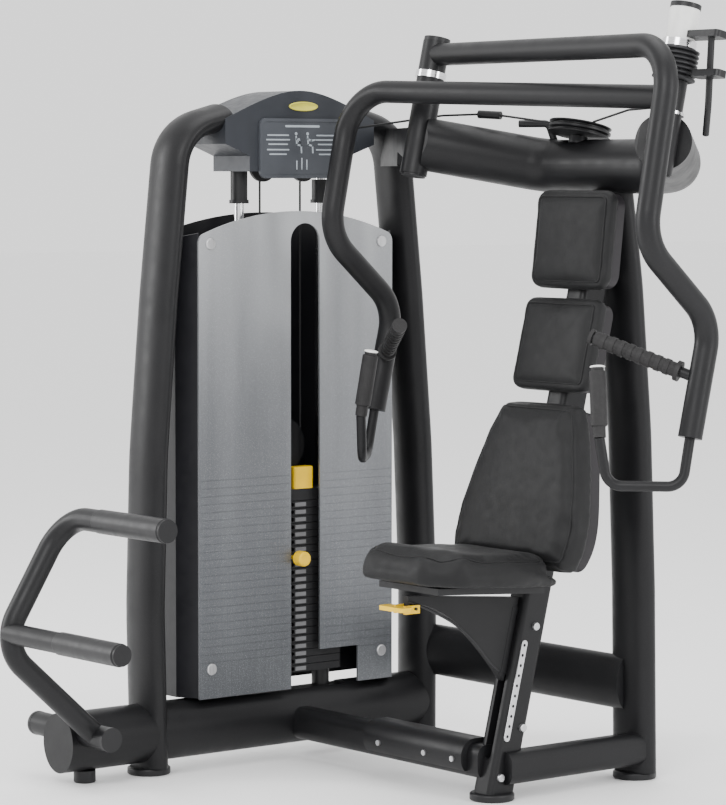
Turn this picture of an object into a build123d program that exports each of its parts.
from build123d import *
import math
import os

# Chest press machine: a weight-stack tower on the user's right, a seat with an inclined back post,
# a top beam with two inclined pivots, and two arms that cross over the head and converge.
# Millimetres. +Z up, the user sits facing -Y, +X is the user's left.
# Design origin: centre of the seat post's foot on the floor; ORIGIN moves it to the middle of the footprint.

# ---------------------------------------------------------------- driving dimensions
ORIGIN = (156.75, 186.75, 0.0)     # shift applied to every piece at export
TOWER_X = -699.0                 # plane of the tower arch
TOWER_H = 1497.0
LEG_A, LEG_B = 60.0, 30.0        # half axes of the oval leg section (120 x 60)
LEG_Y_F, LEG_Y_R = -391.0, 368.0
FOOT_R, FOOT_H = 47.5, 16.0
LEAN = 0.247                     # back post lean, dy/dz
POST_W, POST_D = 60.0, 72.0
BEAM_R = 58.0
BEAM_Y, BEAM_Z = 330.0, 1329.0
PIV_X, PIV_Y, PIV_Z, PIV_S = 384.0, 119.5, 1400.0, 0.23   # pivot axis: y = PIV_Y + PIV_S (z - PIV_Z)
SHAFT_R = 15.0
RUN = 0.05                       # radial running clearance of the arm barrels
BARREL_R = 30.0
ARM_R = 24.5
ARM_X = 500.0                    # plane of the hanging part of each arm
PANEL_X = -650.0
PANEL_Y0, PANEL_Y1 = -288.0, 256.0
STACK_X, STACK_Y = -715.0, -16.0
PLATE_W, PLATE_D, PLATE_T, PITCH = 280.0, 90.0, 15.6, 16.9
N_LOW, N_UP = 15, 8
ROD_DY = 114.0
ROD_R = 11.0
LEVER_Y, LEVER_Z = -590.0, 114.0 # foot lever axis, along X
LEVER_R = 26.0

os.makedirs("parts", exist_ok=True)
NODES = {}


def V(*p):
    return Vector(*p)


def add(name, *shapes):
    solids = []
    for s in shapes:
        if isinstance(s, (list, tuple)):
            for q in s:
                solids += list(q.solids())
        else:
            solids += list(s.solids())
    NODES[name] = solids


def cyl(p, q, r, r_in=0.0):
    p, q = V(*p), V(*q)
    d = q - p
    pl = Plane(origin=p, z_dir=d.normalized())
    s = extrude(pl * Circle(r), amount=d.length)
    if r_in:
        s = s - extrude(pl * Circle(r_in), amount=d.length)
    return s


def ring(p, q, ro, ri):
    return cyl(p, q, ro, ri)


def box(x0, x1, y0, y1, z0, z1, r=0.0):
    b = Pos((x0 + x1) / 2, (y0 + y1) / 2, (z0 + z1) / 2) * Box(x1 - x0, y1 - y0, z1 - z0)
    if r:
        b = fillet(b.edges(), r)
    return b


def tube(pts, radii, r):
    path = FilletPolyline(*[V(*p) for p in pts], radius=radii) if len(pts) > 2 else Polyline(*[V(*p) for p in pts])
    w = path.wire() if hasattr(path, "wire") else path
    return sweep(Plane(origin=path @ 0, z_dir=path % 0) * Circle(r), path=w)


def oval(pts, radii, a, b, xd):
    path = FilletPolyline(*[V(*p) for p in pts], radius=radii) if len(pts) > 2 else Polyline(*[V(*p) for p in pts])
    return sweep(Plane(origin=path @ 0, x_dir=V(*xd), z_dir=path % 0) * Ellipse(a, b), path=path.wire())


def axis_pt(side, z, off=(0.0, 0.0)):
    """Point on the pivot axis of one side (-1 user's right, +1 user's left) at height z."""
    return (side * PIV_X, PIV_Y + PIV_S * (z - PIV_Z), z)


U_AX = V(0, PIV_S, 1).normalized()


def post_y(z):
    return LEAN * z


POST_U = V(0, LEAN, 1).normalized()
POST_N = V(0, -1, LEAN).normalized()       # out of the post's front face
POST_PL = Plane(origin=(0, 0, 0), x_dir=(1, 0, 0), z_dir=POST_U)


def post_frame(z):
    """Plane on the post's centre line at height z: local x = +X, local y = backward, local z = up the post."""
    return Plane(origin=(0, post_y(z), z), x_dir=(1, 0, 0), z_dir=POST_U)


# ---------------------------------------------------------------- feet
feet = []
for (x, y) in ((0, 0), (0, 411), (TOWER_X, LEG_Y_F), (TOWER_X, LEG_Y_R + 3)):
    f = Pos(x, y, FOOT_H / 2) * Cylinder(FOOT_R, FOOT_H)
    f = fillet(f.edges().group_by(Axis.Z)[-1], 5)
    f = chamfer(f.edges().group_by(Axis.Z)[0], 2)
    feet.append(f)
f = Pos(TOWER_X, -560, 13) * Cylinder(24, 26)
feet.append(chamfer(f.edges().group_by(Axis.Z)[0], 2))
add("foot_pads", *feet)

# ---------------------------------------------------------------- tower arch legs
front_leg = oval([(TOWER_X, LEG_Y_F, FOOT_H), (TOWER_X, -399, 360), (TOWER_X, -389, 700), (TOWER_X, -361, 1040),
                  (TOWER_X, -322, 1405), (TOWER_X, -200, 1437)], [900, 1500, 1500, 105], LEG_A, LEG_B, (1, 0, 0))
rear_leg = oval([(TOWER_X, LEG_Y_R + 3, FOOT_H), (TOWER_X, LEG_Y_R + 4, 360), (TOWER_X, 357, 700), (TOWER_X, 329, 1040),
                 (TOWER_X, 290, 1405), (TOWER_X, 168, 1437)], [900, 1500, 1500, 105], LEG_A, LEG_B, (1, 0, 0))

floor_cut = box(-1500, 1500, -1500, 1500, -50, FOOT_H)
front_leg = front_leg - floor_cut
rear_leg = rear_leg - floor_cut

# ---------------------------------------------------------------- crown cover (hollow moulding between the legs)
def crown_profile(off, zlow):
    """Outline in the YZ plane: arched top, hanging skirt between the legs."""
    yc = -16.0
    top = TOWER_H - off
    pts_top = [(yc - 208 + off, 1433 - off * 0.6), (yc - 120, 1470 - off), (yc, top), (yc + 120, 1470 - off), (yc + 208 - off, 1433 - off * 0.6)]
    return pts_top


def crown_solid(off, x0, x1, zb, ylow0, ylow1):
    t = crown_profile(off, zb)
    pl = Plane(origin=(x0, 0, 0), x_dir=(0, 1, 0), z_dir=(1, 0, 0))
    l1 = Spline(*[V(x0, y, z) for y, z in t])
    l2 = Polyline(V(x0, t[-1][0], t[-1][1]), V(x0, t[-1][0], 1378 + off), V(x0, ylow1 - off, 1352 + off), V(x0, ylow1 - off, zb + off),
                  V(x0, ylow0 + off, zb + off), V(x0, ylow0 + off, 1352 + off), V(x0, t[0][0], 1378 + off), V(x0, t[0][0], t[0][1]))
    return extrude(Face(Wire([*l1.edges(), *l2.edges()])), amount=x1 - x0, dir=V(1, 0, 0))


crown_o = crown_solid(0, TOWER_X - 74, TOWER_X + 62, 1318, -158, 118)
crown_i = crown_solid(4, TOWER_X - 70, TOWER_X + 58, 1310, -158, 118)
crown = crown_o - crown_i
legs_cut = front_leg + rear_leg
crown = crown - front_leg - rear_leg
crown = [s for s in sorted(crown.solids(), key=lambda s: -s.volume)][0]
add("crown_cover", crown)
front_leg = front_leg - crown_o
rear_leg = rear_leg - crown_o

# placard plate in front of the crown, slightly flared at the foot, with a raised rim
px = TOWER_X + 62.2
pl_o = extrude(Plane(origin=(px, -16, 1369), x_dir=(0, 1, 0), z_dir=(1, 0, 0)) * RectangleRounded(236, 132, 16), amount=7)
pl_o = pl_o - extrude(Plane(origin=(px + 5.2, -16, 1369), x_dir=(0, 1, 0), z_dir=(1, 0, 0)) * RectangleRounded(222, 118, 11), amount=4)
add("placard", pl_o)

# ---------------------------------------------------------------- base
t_beam = oval([(TOWER_X, -628, 91), (TOWER_X, 371, 91)], None, 57.5, 65, (1, 0, 0))
t_beam = t_beam - cyl((TOWER_X - 90, LEVER_Y, LEVER_Z), (TOWER_X + 90, LEVER_Y, LEVER_Z), LEVER_R + RUN)
t_beam = t_beam - front_leg - rear_leg
for ft in feet:
    t_beam = t_beam - ft
# a flat seat on top of the beam for the stack bumpers
t_beam = t_beam - box(TOWER_X - 70, TOWER_X + 70, -170, 140, 150, 170)
add("tower_base_beam", *[q for q in t_beam.solids() if q.volume > 20000])
add("tower_legs", front_leg, rear_leg)

post = extrude(Plane(origin=(0, 0, 0), x_dir=(1, 0, 0), z_dir=(0, 0, 1)) * RectangleRounded(POST_W, POST_D, 14), amount=1300, dir=POST_U)
post = post & box(-200, 200, -200, 600, FOOT_H, 1400)
barrel_top = {-1: 1520.0, 1: 1432.0}
beam_c = tube([(-376, 124, 1378), (-196, BEAM_Y, BEAM_Z), (196, BEAM_Y, BEAM_Z), (376, 124, 1378)], 110, BEAM_R)
for sd in (-1, 1):
    beam_c = beam_c - cyl(axis_pt(sd, 1280), axis_pt(sd, 1700), BARREL_R) - cyl(axis_pt(sd, barrel_top[sd] - 2), axis_pt(sd, 1700), 46)
    beam_c = beam_c - Pos(sd * 384, 60, 1380) * Rotation(-13, 0, 0) * Box(200, 60, 400)
beam_c = sorted(beam_c.solids(), key=lambda s: -s.volume)[0]
post = post - beam_c
# front slot with its dark channel
slot = extrude(Plane(origin=(0, post_y(60), 60), x_dir=(1, 0, 0), z_dir=POST_N) * Pos(0, 185) * SlotOverall(330, 22, rotation=90), amount=60)
post = post - slot
post = sorted(post.solids(), key=lambda s: -s.volume)[0]
add("seat_post", post)

rear_col = oval([(0, 411, FOOT_H), (0, 404, 420), (0, 390, 760), (0, 362, 1080), (0, 328, 1300)], [1500, 1500, 1200], 60, 31, (1, 0, 0))
rear_col = rear_col - beam_c - post - floor_cut
rear_col = sorted(rear_col.solids(), key=lambda s: -s.volume)[0]
add("rear_column", rear_col)

s_beam = extrude(Plane(origin=(-648, -2, 79), x_dir=(0, 1, 0), z_dir=(1, 0, 0)) * RectangleRounded(62, 72, 22), amount=640)
s_beam = s_beam - t_beam - post
s_beam = sorted(s_beam.solids(), key=lambda s: -s.volume)[0]
r_beam = extrude(Plane(origin=(22, 10, 68), x_dir=(1, 0, 0), z_dir=(0, 1, 0)) * RectangleRounded(62, 70, 24), amount=400)
r_beam = r_beam - rear_col - post - feet[0] - feet[1]
r_beam = sorted(r_beam.solids(), key=lambda s: -s.volume)[0]
add("rear_base_beam", r_beam)
# wider cover over the front half of the seat base beam
cov = extrude(Plane(origin=(-372, -2, 86), x_dir=(0, 1, 0), z_dir=(1, 0, 0)) * RectangleRounded(96, 78, 36), amount=330)
cov_in = extrude(Plane(origin=(-380, -2, 79), x_dir=(0, 1, 0), z_dir=(1, 0, 0)) * RectangleRounded(62.6, 72.6, 22), amount=400)
cov = cov - cov_in - box(-500, 100, -80, 80, 0, 58) - post
add("seat_beam_cover", sorted(cov.solids(), key=lambda s: -s.volume)[0])
add("seat_base_beam", s_beam)

u_beam = extrude(Plane(origin=(-690, 388, 209), x_dir=(0, 1, 0), z_dir=(1, 0, 0)) * Ellipse(31, 59), amount=690)
u_beam = u_beam - rear_leg - rear_col
u_beam = sorted(u_beam.solids(), key=lambda s: -s.volume)[0]
add("tie_beam", u_beam)

# ---------------------------------------------------------------- top beam, wings, pivot barrels
barrels = {}
for sd in (-1, 1):
    barrels[sd] = cyl(axis_pt(sd, 1312), axis_pt(sd, barrel_top[sd]), BARREL_R, SHAFT_R)
add("top_beam", beam_c)
add("pivot_barrels", barrels[-1], barrels[1])

# steel plate that ties the tower to the right-hand wing
gus = extrude(Plane(origin=(0, 0, 1330), z_dir=(0, 0, 1)) * Polygon((-700, 262), (-690, 300), (-414, 150), (-400, 118), (-422, 112), align=None), amount=84, dir=V(0, 0, 1))
gus = gus - rear_leg - beam_c - barrels[-1] - crown_o
gus = gus - Pos(-405, 110, 1322) * Rotation(0, 12, -28) * Box(260, 200, 30)
add("tower_tie_plate", sorted(gus.solids(), key=lambda s: -s.volume)[0])

# shafts, rings and top hardware
sh = []
for sd, zt in ((-1, 1597.0), (1, 1642.0)):
    sh.append(cyl(axis_pt(sd, 1316), axis_pt(sd, zt), SHAFT_R))
rings = [ring(axis_pt(-1, 1520), axis_pt(-1, 1534), 34, SHAFT_R), ring(axis_pt(1, 1432), axis_pt(1, 1438), 34, SHAFT_R),
         ring(axis_pt(1, 1565.5), axis_pt(1, 1580), 35, SHAFT_R)]
add("pivot_shafts", *sh, *rings)


def bellows():
    pl = Plane(origin=axis_pt(1, 1501), x_dir=(1, 0, 0), z_dir=U_AX)
    pts = [(SHAFT_R, 0), (38, 0)]
    n = 7
    p = 66.0 / n
    for i in range(n):
        z = i * p
        pts += [(44, z + p * 0.25), (44, z + p * 0.55), (36, z + p * 0.85), (36 if i < n - 1 else 34, z + p)]
    pts += [(SHAFT_R, 66.0)]
    prof = make_face(Polyline(*[V(x, 0, z) for x, z in pts], close=True))
    b = revolve(prof, Axis.Z, 360)
    return pl.location * b


add("bearing_bellows", bellows())
add("bearing_housing", ring(axis_pt(1, 1580), axis_pt(1, 1644), 30.5, SHAFT_R))
hc = cyl(axis_pt(1, 1644), axis_pt(1, 1654), 31.5)
add("pivot_caps", hc, cyl(axis_pt(-1, 1308), axis_pt(-1, 1312), 27), cyl(axis_pt(1, 1308), axis_pt(1, 1312), 27))

# range bracket: two lugs behind the left-hand pivot stack, on a curved steel strap from the wing
strap_c = [(430, 190, 1392), (462, 165, 1450), (470, 165, 1590)]
strap = tube(strap_c, 30, 7)
strap = strap - beam_c
lug1 = extrude(Plane(origin=axis_pt(1, 1584.5), x_dir=(1, 0, 0), z_dir=U_AX) * (Pos(60, 6) * RectangleRounded(110, 34, 10)), amount=14) \
    - cyl(axis_pt(1, 1560), axis_pt(1, 1700), 30.6) - strap
lug2 = extrude(Plane(origin=axis_pt(1, 1506), x_dir=(1, 0, 0), z_dir=U_AX) * (Pos(92, 6) * RectangleRounded(80, 30, 10)), amount=14) \
    - cyl(axis_pt(1, 1490), axis_pt(1, 1700), 44.2) - strap
add("range_bracket", sorted(strap.solids(), key=lambda s: -s.volume)[0], sorted(lug1.solids(), key=lambda s: -s.volume)[0], sorted(lug2.solids(), key=lambda s: -s.volume)[0])

# horizontal guide pulley on the beam (moving), its pin and cheek bracket
PUL = (-90.0, 322.0, 1407.0)
pul_n = U_AX
ppl = Plane(origin=PUL, x_dir=(1, 0, 0), z_dir=pul_n)


def grooved(ro, w, n, ri, groove):
    pts = [(ri, 0), (ro, 0)]
    seg = w / n
    for i in range(n):
        z = i * seg
        pts += [(ro, z + seg * 0.18), (ro - groove, z + seg * 0.42), (ro - groove, z + seg * 0.58), (ro, z + seg * 0.82)]
    pts += [(ro, w), (ri, w)]
    return revolve(make_face(Polyline(*[V(x, 0, z) for x, z in pts], close=True)), Axis.Z, 360)


top_pulley = ppl.location * (Pos(0, 0, -12) * grooved(68, 24, 2, 8.05, 8))
add("beam_pulley", top_pulley)
pin = extrude(ppl * Circle(8), amount=16) + extrude(ppl * Circle(8), amount=-20)
pin = pin + extrude(ppl.offset(12.6) * Circle(16), amount=5)
pin = pin + extrude(ppl.offset(-14.6) * Circle(20), amount=-16)
pin = sorted((pin - beam_c).solids(), key=lambda s: -s.volume)[0]

# hooked cable guide and turnbuckle in front of the pulley
hook = tube([(-176, 330, 1376), (-186, 318, 1422), (-240, 280, 1422)], 14, 8) - beam_c
tb0, tb1 = V(-262, 246, 1440), V(-312, 226, 1443)
turn = cyl(tuple(tb0), tuple(tb1), 9, 2.8)
add("beam_cable_fittings", pin, sorted(hook.solids(), key=lambda s: -s.volume)[0], turn)
c1 = tube([(-160, 300, 1424), (-262, 246, 1440), (-312, 226, 1443), (-400, 196, 1441), (-618, 132, 1416)], [60, 60, 60], 2.4)
c2 = tube([(-22, 300, 1424), (150, 240, 1446), (338, 176, 1450)], 60, 2.4)
add("beam_cables", c1, c2)

# ---------------------------------------------------------------- weight stack
PAN_B, PAN_T = 157.0, 1228.0
zc0 = 190.0                           # underside of the lowest plate


def plate(z, t=PLATE_T):
    b = extrude(Plane(origin=(STACK_X, STACK_Y, z)) * RectangleRounded(PLATE_D, PLATE_W, 6), amount=t)
    holes = extrude(Plane(origin=(STACK_X, STACK_Y, z)) * Circle(14), amount=t)
    b = b - holes
    for s in (-1, 1):
        b = b - extrude(Plane(origin=(STACK_X, STACK_Y + s * ROD_DY, z)) * Circle(ROD_R + 1.0), amount=t)
    # pin hole from the front face
    b = b - cyl((STACK_X - 20, STACK_Y, z + t / 2), (STACK_X + PLATE_D, STACK_Y, z + t / 2), 5.0)
    # two contact pads on top, that leave the dark line between plates
    for s in (-1, 1):
        b = b + extrude(Plane(origin=(STACK_X, STACK_Y + s * 70, z + t)) * Circle(9), amount=PITCH - t)
    return b


add("lower_plates", [plate(zc0 + i * PITCH) for i in range(N_LOW)])
z_up = zc0 + N_LOW * PITCH + 0.4      # the lifted plates rest 0.4 mm clear, which is the joint's rest gap
add("lifted_plates", [plate(z_up + i * PITCH) for i in range(N_UP)])
z_top = z_up + N_UP * PITCH
head = extrude(Plane(origin=(STACK_X, STACK_Y, z_top)) * RectangleRounded(PLATE_D, PLATE_W, 8), amount=26)
for s in (-1, 1):
    head = head - extrude(Plane(origin=(STACK_X, STACK_Y + s * ROD_DY, z_top)) * Circle(ROD_R + 1.0), amount=26)
head = head - extrude(Plane(origin=(STACK_X, STACK_Y, z_top)) * Circle(14), amount=26)
add("stack_head_plate", head)
stem = cyl((STACK_X, STACK_Y, zc0 + 4), (STACK_X, STACK_Y, z_top + 34), 12.0)
PIN_I = 0
pin_z = z_up + PLATE_T / 2
stem = stem - cyl((STACK_X - 30, STACK_Y, pin_z), (STACK_X + 30, STACK_Y, pin_z), 5.0)
add("selector_stem", stem)
cap = extrude(Plane(origin=(STACK_X + 31, STACK_Y + 34, z_top + 26)) * RectangleRounded(26, 56, 6), amount=50)
add("stack_cap", fillet(cap.edges().group_by(Axis.Z)[-1], 4))
# block pulley above the head plate
BP_Z = z_top + 124.0
blk_s = box(STACK_X - 17, STACK_X - 12, STACK_Y - 20, STACK_Y + 20, z_top + 26, BP_Z + 22)
blk_t = box(STACK_X + 12, STACK_X + 17, STACK_Y - 20, STACK_Y + 20, z_top + 26, BP_Z + 22)
ax_b = cyl((STACK_X - 21, STACK_Y, BP_Z), (STACK_X + 21, STACK_Y, BP_Z), 8)
add("pulley_block", blk_s + blk_t + ax_b)
bp = Plane(origin=(STACK_X - 9, STACK_Y, BP_Z), x_dir=(0, 1, 0), z_dir=(1, 0, 0)).location * grooved(62, 18, 1, 8.05, 8.7)
add("stack_pulley", bp)
# cable over the block pulley: two runs up into the crown, and the half turn below
CAB_T = 1326.0
cr = 56.6
add("stack_cable", tube([(STACK_X, STACK_Y - cr, CAB_T), (STACK_X, STACK_Y - cr, BP_Z - cr), (STACK_X, STACK_Y + cr, BP_Z - cr), (STACK_X, STACK_Y + cr, CAB_T)],
                        cr - 0.2, 2.4))
# selector pin, pulled out along +X
pin_s = cyl((STACK_X - 18, STACK_Y, pin_z), (PANEL_X + 4, STACK_Y, pin_z), 4.6)
knob = cyl((PANEL_X + 4, STACK_Y, pin_z), (PANEL_X + 30, STACK_Y, pin_z), 17)
knob = fillet(knob.edges().group_by(Axis.X)[-1], 7)
add("selector_pin", pin_s + knob)

# guide rods, dampers under the crown, and bumpers below the stack
rods, tops, bump = [], [], []
for s in (-1, 1):
    y = STACK_Y + s * ROD_DY
    rods.append(cyl((STACK_X, y, 152), (STACK_X, y, 1400), ROD_R))
    tops.append(ring((STACK_X, y, 1255), (STACK_X, y, 1352 if s < 0 else 1300), 19, ROD_R)
                + ring((STACK_X, y, 1247), (STACK_X, y, 1255), 22, ROD_R))
    bump.append(ring((STACK_X, y, 150), (STACK_X, y, zc0), 20, ROD_R))
add("guide_rods", *rods)
add("rod_stops", *tops, *bump)
# crown sheaves: two cable pulleys under the crown with their yoke
sheaves = []
for y in (STACK_Y - cr, STACK_Y + cr):
    sheaves.append(cyl((STACK_X + 6, y, 1331), (STACK_X + 15, y, 1331), 36))
yoke = box(STACK_X + 15, STACK_X + 19, STACK_Y - 80, STACK_Y + 80, 1322, 1400)
add("crown_pulleys", *sheaves, yoke)

# ---------------------------------------------------------------- shroud and front panel
ZB, ZT = 160.0, 1160.0
yc = (PANEL_Y0 + PANEL_Y1) / 2


def arch_face(x, y0, y1, zb, zside, zpeak):
    ym = (y0 + y1) / 2
    top = ThreePointArc(V(x, y1, zside), V(x, ym, zpeak), V(x, y0, zside))
    rest = Polyline(V(x, y0, zside), V(x, y0, zb), V(x, y1, zb), V(x, y1, zside))
    return Face(Wire([*top.edges(), *rest.edges()]))


panel = extrude(arch_face(PANEL_X - 5, PANEL_Y0, PANEL_Y1, PAN_B, 1176, 1230), amount=5, dir=V(1, 0, 0))
ye = panel.edges().filter_by(Axis.X)
corner = [e for e in ye if e.center().Z > 1100]
panel = fillet(corner, 22)
slot_y = 6.0
cut = box(PANEL_X - 20, PANEL_X + 20, slot_y - 41, slot_y + 41, PAN_B - 20, 1162) + \
    extrude(Plane(origin=(PANEL_X - 20, slot_y, 1162), x_dir=(0, 1, 0), z_dir=(1, 0, 0)) * Circle(41), amount=40)
cut = cut + box(PANEL_X - 20, PANEL_X + 20, slot_y, slot_y + 150, PAN_B - 20, 240)
panel = panel - cut
for i in range(24):                         # shallow horizontal grooves on the lower part
    z = 236 + i * 17.5
    for y0, y1 in ((PANEL_Y0 + 4, slot_y - 47), (slot_y + 47, PANEL_Y1 - 4)):
        panel = panel - box(PANEL_X - 0.9, PANEL_X + 2, y0, y1, z, z + 2.2)
scr = [(-256, 1160), (224, 1160), (-256, 222), (224, 222)]
heads = []
for y, z in scr:
    panel = panel - cyl((PANEL_X - 10, y, z), (PANEL_X + 10, y, z), 6)
    h = cyl((PANEL_X, y, z), (PANEL_X + 4, y, z), 13)
    h = fillet(h.edges().group_by(Axis.X)[-1], 2.5)
    heads.append(h + cyl((PANEL_X - 5, y, z), (PANEL_X, y, z), 6))
add("front_panel", panel)

# shroud: side walls that slant back from the panel's edges, and the back sheet
def shroud_walls():
    t = 3.0
    xf, xm, xb = PANEL_X - 5.2, -700.0, -786.0
    y0, y1 = PANEL_Y0 - 0.0, PANEL_Y1 + 0.0
    out = [(xf, y0 + 1), (xm, -316), (xb, -316), (xb, 286), (xm, 286), (xf, y1 - 1)]
    inn = [(xf, y1 - 1 - t * 1.3), (xm + 1, 286 - t), (xb + t, 286 - t), (xb + t, -316 + t), (xm + 1, -316 + t), (xf, y0 + 1 + t * 1.3)]
    return extrude(Plane(origin=(0, 0, ZB)) * Polygon(*out, *inn, align=None), amount=1240 - ZB, dir=V(0, 0, 1))


sh_w = shroud_walls()
keep = extrude(arch_face(-900, -340, 310, 100, 1164, 1226), amount=400, dir=V(1, 0, 0))
sh_w = sh_w & keep
sh_w = sh_w - front_leg - rear_leg - t_beam
sh_w = sorted(sh_w.solids(), key=lambda s: -s.volume)[0]
add("stack_shroud", sh_w)

# ---------------------------------------------------------------- post hardware
strip_pl = Plane(origin=(POST_W / 2, post_y(128) - 20, 128), x_dir=(0, 1, 0), z_dir=(1, 0, 0))
strip = extrude(Plane(origin=(30.0, post_y(230) - 19, 230), x_dir=V(0, 1, -LEAN).normalized(), z_dir=(1, 0, 0)) * SlotOverall(216, 15, rotation=90), amount=2.5)
for i in range(10):
    z = 230 + (i - 4.5) * 21.0
    strip = strip - cyl((28, post_y(z) - 19, z), (40, post_y(z) - 19, z), 3.4)
add("adjusting_strip", strip)
bolts = []
for (x, y, z, nx) in ((30, post_y(50) - 16, 50, 1), (30, post_y(362) + 3, 362, 1), (30, post_y(150) + 20, 150, 1)):
    b = cyl((x, y, z), (x + 7, y, z), 8.5)
    b = fillet(b.edges().group_by(Axis.X)[-1], 2)
    bolts.append(b)
for xx in (-318, -163, -70):
    b = cyl((xx, -50, 82), (xx, -54, 82), 6)
    bolts.append(b)
add("bolts", *bolts, *heads)

# ---------------------------------------------------------------- back pads and shells
def pad_plane(y, z, slope):
    """Plane on the pad's front face: local x = +X, local y = up the pad, local z = out of the front face."""
    n = V(0, -1, slope).normalized()
    return Plane(origin=(0, y, z), x_dir=(1, 0, 0), z_dir=n)


def pad_solid(pl, face, t, f):
    s = extrude(pl * face, amount=-t)
    fr = [e for e in s.edges() if abs((pl.to_local_coords(e.center())).Z) < 0.5]
    return fillet(fr, f)


S_MAIN, S_MID, S_HEAD = 0.256, 0.247, 0.112
pm = pad_plane(72, 668, S_MAIN)
main_face = make_face(pm.location.inverse() * Line(V(0, 0, 0), V(1, 0, 0))) if False else None
with BuildSketch() as sk:
    with BuildLine():
        l1 = Line((-176, -178), (176, -178))
        a1 = Spline((176, -178), (196, -120), (180, 0), (148, 110), (112, 178))
        l2 = Line((112, 178), (-112, 178))
        a2 = Spline((-112, 178), (-148, 110), (-180, 0), (-196, -120), (-176, -178))
    make_face()
    fillet(sk.vertices(), 26)
main_pad = pad_solid(pm, sk.sketch, 50, 20)
add("back_pad_main", main_pad)
pmid = pad_plane(166, 957, S_MID)
mid_pad = pad_solid(pmid, RectangleRounded(242, 204, 26), 31, 15)
add("back_pad_mid", mid_pad)
phead = pad_plane(209, 1176, S_HEAD)
head_pad = pad_solid(phead, RectangleRounded(242, 214, 28), 28, 14)
add("back_pad_head", head_pad)

channel = extrude(Plane(origin=(0, 0, 0)) * RectangleRounded(POST_W + 0.0, POST_D + 0.0, 14), amount=1330, dir=POST_U)


def shell(pl, face, z0, z1, inset_scale):
    s = extrude(pl.offset(-z0) * face, amount=-(z1 - z0))
    return s


with BuildSketch() as sk2:
    with BuildLine():
        Line((-160, -168), (160, -168))
        Spline((160, -168), (182, -118), (168, 0), (137, 104), (102, 168))
        Line((102, 168), (-102, 168))
        Spline((-102, 168), (-137, 104), (-168, 0), (-182, -118), (-160, -168))
    make_face()
    fillet(sk2.vertices(), 30)
sm = shell(pm, sk2.sketch, 50, 78, 0) - channel
sd_ = shell(pmid, RectangleRounded(226, 190, 30), 31, 53, 0) - channel
shd = shell(phead, RectangleRounded(226, 200, 30), 28, 50, 0) - channel - beam_c
# packer between the head shell and the leaning post
hb = box(-34, 34, 205, 300, 1198, 1240)
hb = hb - extrude(phead.offset(-50) * Rectangle(400, 400), amount=300) - channel - beam_c - rear_col - box(-50, 50, 278, 400, 1100, 1400)
parts_b = []
for q in (sm, sd_, shd, hb):
    parts_b += [w for w in q.solids() if w.volume > 3000]
add("back_shells", *parts_b)

# ---------------------------------------------------------------- seat carriage, pan, pad, lever
car = extrude(Plane(origin=(0, post_y(300), 300), x_dir=(1, 0, 0), z_dir=POST_N) * Pos(0, 26) * RectangleRounded(19.0, 150, 6), amount=50)
car_in = extrude(Plane(origin=(0, post_y(300), 300), x_dir=(1, 0, 0), z_dir=POST_N) * Pos(0, 26) * RectangleRounded(19.0, 160, 6), amount=24)
car = car - car_in
# bracket plate with the concave lower edge, in the plane x = 0
br = Plane(origin=(0, 0, 0), x_dir=(0, 1, 0), z_dir=(1, 0, 0))
fy = lambda z: post_y(z) - POST_D / 2 * math.sqrt(1 + LEAN ** 2)
pts_b = [(-236, 436), (-236, 452), (60, 418), (fy(405) - 1.2, 405), (fy(250) - 1.2, 250)]
bl = Spline(V(0, fy(250) - 1.2, 250), V(0, -46, 330), V(0, -110, 386), V(0, -236, 436))
bp_ = Polyline(*[V(0, y, z) for y, z in [(-236, 436), (-236, 450), (fy(420) - 1.2, 424), (fy(250) - 1.2, 250)]])
bface = Face(Wire([*bl.edges(), *bp_.edges()]))
plate_b = extrude(bface, amount=9, dir=V(1, 0, 0)) + extrude(bface, amount=9, dir=V(-1, 0, 0))
cover_z = plate_b
carr = car
pan = Pos(0, -84, 456.5) * Rotation(-3.6, 0, 0) * Box(190, 290, 13)
pan = fillet(pan.edges().filter_by(Axis.Z), 5) if False else pan
pan = pan - plate_b
add("seat_pan", sorted(pan.solids(), key=lambda s: -s.volume)[0])
# seat cushion: closed saddle form, front edge high and rolled
with BuildSketch(Plane.XY) as sk3:
    with BuildLine():
        Polyline((-150, 168), (150, 168), (172, 20), (160, -120), (96, -182), (-96, -182), (-160, -120), (-172, 20), (-150, 168))
    make_face()
    fillet(sk3.vertices(), 42)
cush = extrude(sk3.sketch, amount=62)
cush = fillet(cush.edges().group_by(Axis.Z)[-1], 26)
cush = fillet(cush.edges().group_by(Axis.Z)[0], 10)
cush = Pos(0, -98, 463.3 + 6.2) * Rotation(-3.6, 0, 0) * cush
keep_c = pan + plate_b
cush = cush - keep_c
cush = cush - extrude(pm * Rectangle(900, 900), amount=-400) if False else cush
clear_pad = extrude(pm.offset(4) * Rectangle(500, 380), amount=-140)
cush = cush - clear_pad - Pos(0, 0, 0) * extrude(Plane(origin=(0, -0, 0)) * RectangleRounded(POST_W + 8, POST_D + 10, 10), amount=700, dir=POST_U)
add("seat_cushion", sorted(cush.solids(), key=lambda s: -s.volume)[0])
# yellow height lever below the front of the seat, on its own pin
LV = (0.0, -226.0, 424.0)
lev = box(-46, 30, -272, -238, 420, 429)
lev = fillet(lev.edges().filter_by(Axis.Z), 8)
lev = lev + box(12.5, 20, -252, -214, 414, 431)
lev = lev + box(-20, -12.5, -252, -214, 414, 431)
lev = lev - cyl((-60, LV[1], LV[2]), (60, LV[1], LV[2]), 3.05)
add("seat_lever", lev)
lp = cyl((-24, LV[1], LV[2]), (24, LV[1], LV[2]), 3.0)
hang = box(-9, 9, -233, -219, 417, 436.5)
hang = hang - plate_b
hang = hang + lp
sb = (carr + plate_b + hang)
add("seat_bracket", *[q for q in sb.solids() if q.volume > 500])

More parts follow.
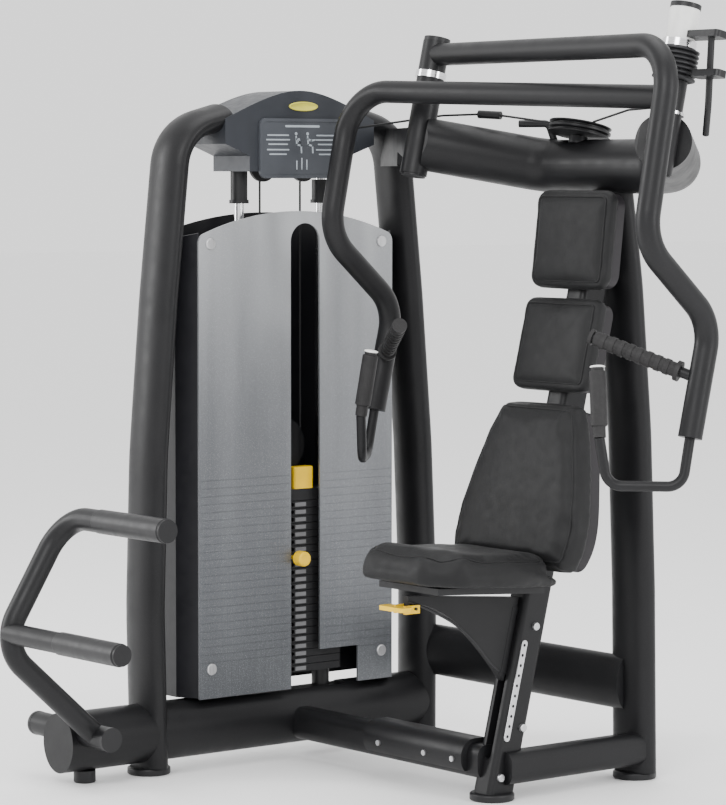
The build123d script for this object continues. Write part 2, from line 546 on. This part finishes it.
# ---------------------------------------------------------------- arms
def arm_tubes(side, z_piv, z_corner, y_corner):
    """side = the side on which the hands hang; the barrel sits on the other side's axis."""
    a = axis_pt(-side, z_piv)
    x = side * ARM_X
    return tube([a, (x, y_corner, z_corner), (x, -44, 1180), (x, 138, 1018), (x, 84, 790)], [105, 105, 92], ARM_R)


arm_spec = {"left": (1, 1573.0, 1567.0, 28.0, 1534.4, 1601.0), "right": (-1, 1467.0, 1494.0, 20.0, 1438.4, 1499.0)}
for nm, (sd, zp, zcn, ycn, b0, b1) in arm_spec.items():
    bar_full = cyl(axis_pt(-sd, b0), axis_pt(-sd, b1), BARREL_R)
    a = arm_tubes(sd, zp, zcn, ycn) - bar_full
    a = sorted(a.solids(), key=lambda s: -s.volume)[0]
    # split at the corner into the crossing tube and the hanging tube
    xs = sd * (ARM_X - 105)
    left_half = box(-1200, xs, -600, 600, 600, 1800) if sd > 0 else box(xs, 1200, -600, 600, 600, 1800)
    cross = a & left_half
    drop = a - left_half
    cross = sorted(cross.solids(), key=lambda s: -s.volume)[0]
    drop = sorted(drop.solids(), key=lambda s: -s.volume)[0]
    x = sd * ARM_X
    # barrel with its bore
    bore_top = 1597.4 if nm == "left" else b1 + 2
    bore = cyl(axis_pt(-sd, b0 - 1), axis_pt(-sd, bore_top), SHAFT_R + RUN)
    add(f"{nm}_arm_cross", bar_full + cross - bore)
    # horizontal grip on its stub
    g0, g1 = V(x, 112, 905), V(sd * 306, -3, 986)
    gd = (g1 - g0).normalized()
    stub = cyl(tuple(g0), tuple(g0 + gd * 236), 11)
    gs = g0 + gd * 44
    grip = cyl(tuple(gs), tuple(g0 + gd * 232), 15.0, 11)
    fl1 = cyl(tuple(gs), tuple(gs + gd * 9), 21, 11)
    for k in range(8):
        p = gs + gd * (24 + k * 20)
        grip = grip + cyl(tuple(p), tuple(p + gd * 10), 16.6, 11)
    grip = grip + fl1
    ge = g0 + gd * 236
    add(f"{nm}_horizontal_grip", grip, cyl(tuple(ge), tuple(ge + gd * 7), 16.5))
    drop = drop + stub
    ut = tube([(x, 84, 790), (x, 64, 694), (sd * 391, -38, 694), (sd * 380.5, -49.5, 790)], 34, 10.5)
    dg = (V(sd * 361, -38, 925) - V(sd * 380.5, -49.5, 790)).normalized()
    h0 = V(sd * 380.5, -49.5, 790)
    ut = ut - drop
    col = cyl(tuple(h0), tuple(h0 + dg * 22), 13) - ut
    vg = cyl(tuple(h0 + dg * 22), tuple(h0 + dg * 134), 17)
    vg = fillet(vg.edges(), 4)
    vc = cyl(tuple(h0 + dg * 134), tuple(h0 + dg * 140), 13)
    add(f"{nm}_handle_tube", sorted(ut.solids(), key=lambda s: -s.volume)[0])
    add(f"{nm}_vertical_grip", vg, sorted(col.solids(), key=lambda s: -s.volume)[0], vc)
    add(f"{nm}_arm_drop", drop)
add("left_arm_cap", cyl(axis_pt(-1, 1601), axis_pt(-1, 1609), 29))

# ---------------------------------------------------------------- foot lever
lx = -606.0
lev_t = tube([(lx, LEVER_Y, LEVER_Z), (lx, -829, 331), (lx, -668, 592), (-230, -668, 592)], [88, 82], 24)
cross_sh = cyl((-830, LEVER_Y, LEVER_Z), (-558, LEVER_Y, LEVER_Z), LEVER_R)
lev_t = lev_t - cross_sh
lev_t = sorted(lev_t.solids(), key=lambda s: -s.volume)[0]
low_bar = cyl((lx, -808, 356), (-190, -808, 356), 22) - lev_t
low_bar = sorted(low_bar.solids(), key=lambda s: -s.volume)[0]
sl_u = cyl((-474, -668, 592), (-236, -668, 592), 25.5)
sl_l = cyl((-412, -808, 356), (-196, -808, 356), 24)
lev_a = lev_t - sl_u
low_bar = low_bar - sl_l
lever_all = lev_a + cross_sh + low_bar
add("foot_lever_frame", *lever_all.solids())
add("foot_bar_sleeves", fillet(sl_u.edges(), 3), fillet(sl_l.edges(), 3), cyl((-838, LEVER_Y, LEVER_Z), (-830, LEVER_Y, LEVER_Z), 26.5),
    cyl((-558, LEVER_Y, LEVER_Z), (-550, LEVER_Y, LEVER_Z), 26.5))


def main():
    lo = [1e9] * 3
    hi = [-1e9] * 3
    for name, solids in NODES.items():
        out = [s.moved(Location(ORIGIN)) for s in solids]
        c = Compound(children=out) if len(out) > 1 else out[0]
        bb = c.bounding_box()
        for i, (a, b) in enumerate(((bb.min.X, bb.max.X), (bb.min.Y, bb.max.Y), (bb.min.Z, bb.max.Z))):
            lo[i] = min(lo[i], a)
            hi[i] = max(hi[i], b)
        export_step(c, f"parts/{name}.step")
    print("nodes", len(NODES))
    print("box", [round(v, 1) for v in lo], [round(v, 1) for v in hi])


main()
